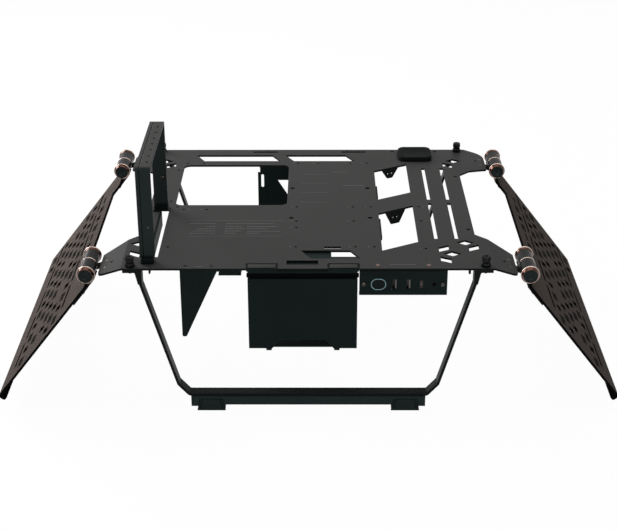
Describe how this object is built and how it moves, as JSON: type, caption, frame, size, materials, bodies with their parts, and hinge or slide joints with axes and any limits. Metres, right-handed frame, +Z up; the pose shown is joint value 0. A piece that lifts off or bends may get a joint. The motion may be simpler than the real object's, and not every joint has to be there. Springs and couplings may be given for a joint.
{
  "type": "open air test bench",
  "caption": "Open bench for a computer board: a folded tray on leg frames, a card-slot frame, hanging power-supply brackets, a socket panel and perforated wings on friction hinges.",
  "frame": {"origin": "on the floor under the middle of the tray", "axes": "+X to the right seen from the socket panel, +Y to the rear, +Z up"},
  "size_m": [0.7674, 0.405, 0.3132],
  "materials": {
    "tray_steel": "satin dark grey powder coat",
    "black_steel": "matte black powder coat",
    "wing_bronze": "bronze grey satin coat",
    "hinge_black": "black satin turned metal",
    "copper": "polished rose copper",
    "pin_steel": "ground steel",
    "black_fittings": "black oxide",
    "black_plastic": "fine moulded grain",
    "soft_rubber": "soft matte",
    "circuit_green": "solder mask",
    "socket_metal": "nickel plate",
    "ring_light": "pale translucent ring"
  },
  "bodies": {
    "root": {"tray": "tray_steel", "leg_frame_front": "black_steel", "leg_frame_rear": "black_steel", "foot_bar_front": "black_plastic", "foot_bar_rear": "black_plastic", "leg_thumbscrews": "black_fittings", "slot_frame": "black_steel", "slot_foot_front": "black_plastic", "slot_foot_rear": "black_plastic", "slot_frame_screws": "black_fittings", "slot_rail": "black_steel", "power_bracket_front": "black_steel", "power_bracket_rear": "black_steel", "front_panel": "black_steel", "circuit_board": "circuit_green", "board_spacers": "socket_metal", "panel_screws": "black_fittings", "usb_a_port_inner": "socket_metal", "usb_a_port_outer": "socket_metal", "usb_a_tongues": "black_plastic", "usb_c_port": "socket_metal", "audio_jack": "black_plastic", "button_ring": "ring_light", "power_switch": "black_plastic", "tray_screws": "copper", "corner_gusset": "black_steel", "gusset_screws": "black_fittings", "tray_pad": "soft_rubber", "ear_screws": "copper", "middle_rings": "copper", "end_rings_fixed": "copper", "end_caps_fixed": "black_plastic", "rubber_foot_left_front": "soft_rubber", "hinge_fixed_left_front": "hinge_black", "hinge_pin_left_front": "pin_steel", "rubber_foot_left_rear": "soft_rubber", "hinge_fixed_left_rear": "hinge_black", "hinge_pin_left_rear": "pin_steel", "rubber_foot_right_front": "soft_rubber", "hinge_fixed_right_front": "hinge_black", "hinge_pin_right_front": "pin_steel", "rubber_foot_right_rear": "soft_rubber", "hinge_fixed_right_rear": "hinge_black", "hinge_pin_right_rear": "pin_steel"},
    "left_wing": {"wing_left": "wing_bronze", "wing_screws_left": "black_fittings", "end_rings_left": "copper", "end_caps_left": "black_plastic", "hinge_moving_left_front": "hinge_black", "hinge_moving_left_rear": "hinge_black"},
    "right_wing": {"wing_right": "wing_bronze", "wing_screws_right": "black_fittings", "end_rings_right": "copper", "end_caps_right": "black_plastic", "hinge_moving_right_front": "hinge_black", "hinge_moving_right_rear": "hinge_black"},
    "button": {"power_button": "black_plastic"}
  },
  "joints": [
    {"name": "right_wing_hinge", "type": "hinge", "parent": "root", "child": "right_wing", "pos_m": [0.2612, 0, 0.18479], "axis": [0, -1, 0], "range_deg": [-8, 125]},
    {"name": "left_wing_hinge", "type": "hinge", "parent": "root", "child": "left_wing", "pos_m": [-0.2612, 0, 0.18479], "axis": [0, 1, 0], "range_deg": [-8, 125]},
    {"name": "power_button_press", "type": "slide", "parent": "root", "child": "button", "axis": [0, 1, 0], "range_m": [0, 0.0015], "stiffness_N_per_m": 600, "springref_m": -0.001}
  ]
}
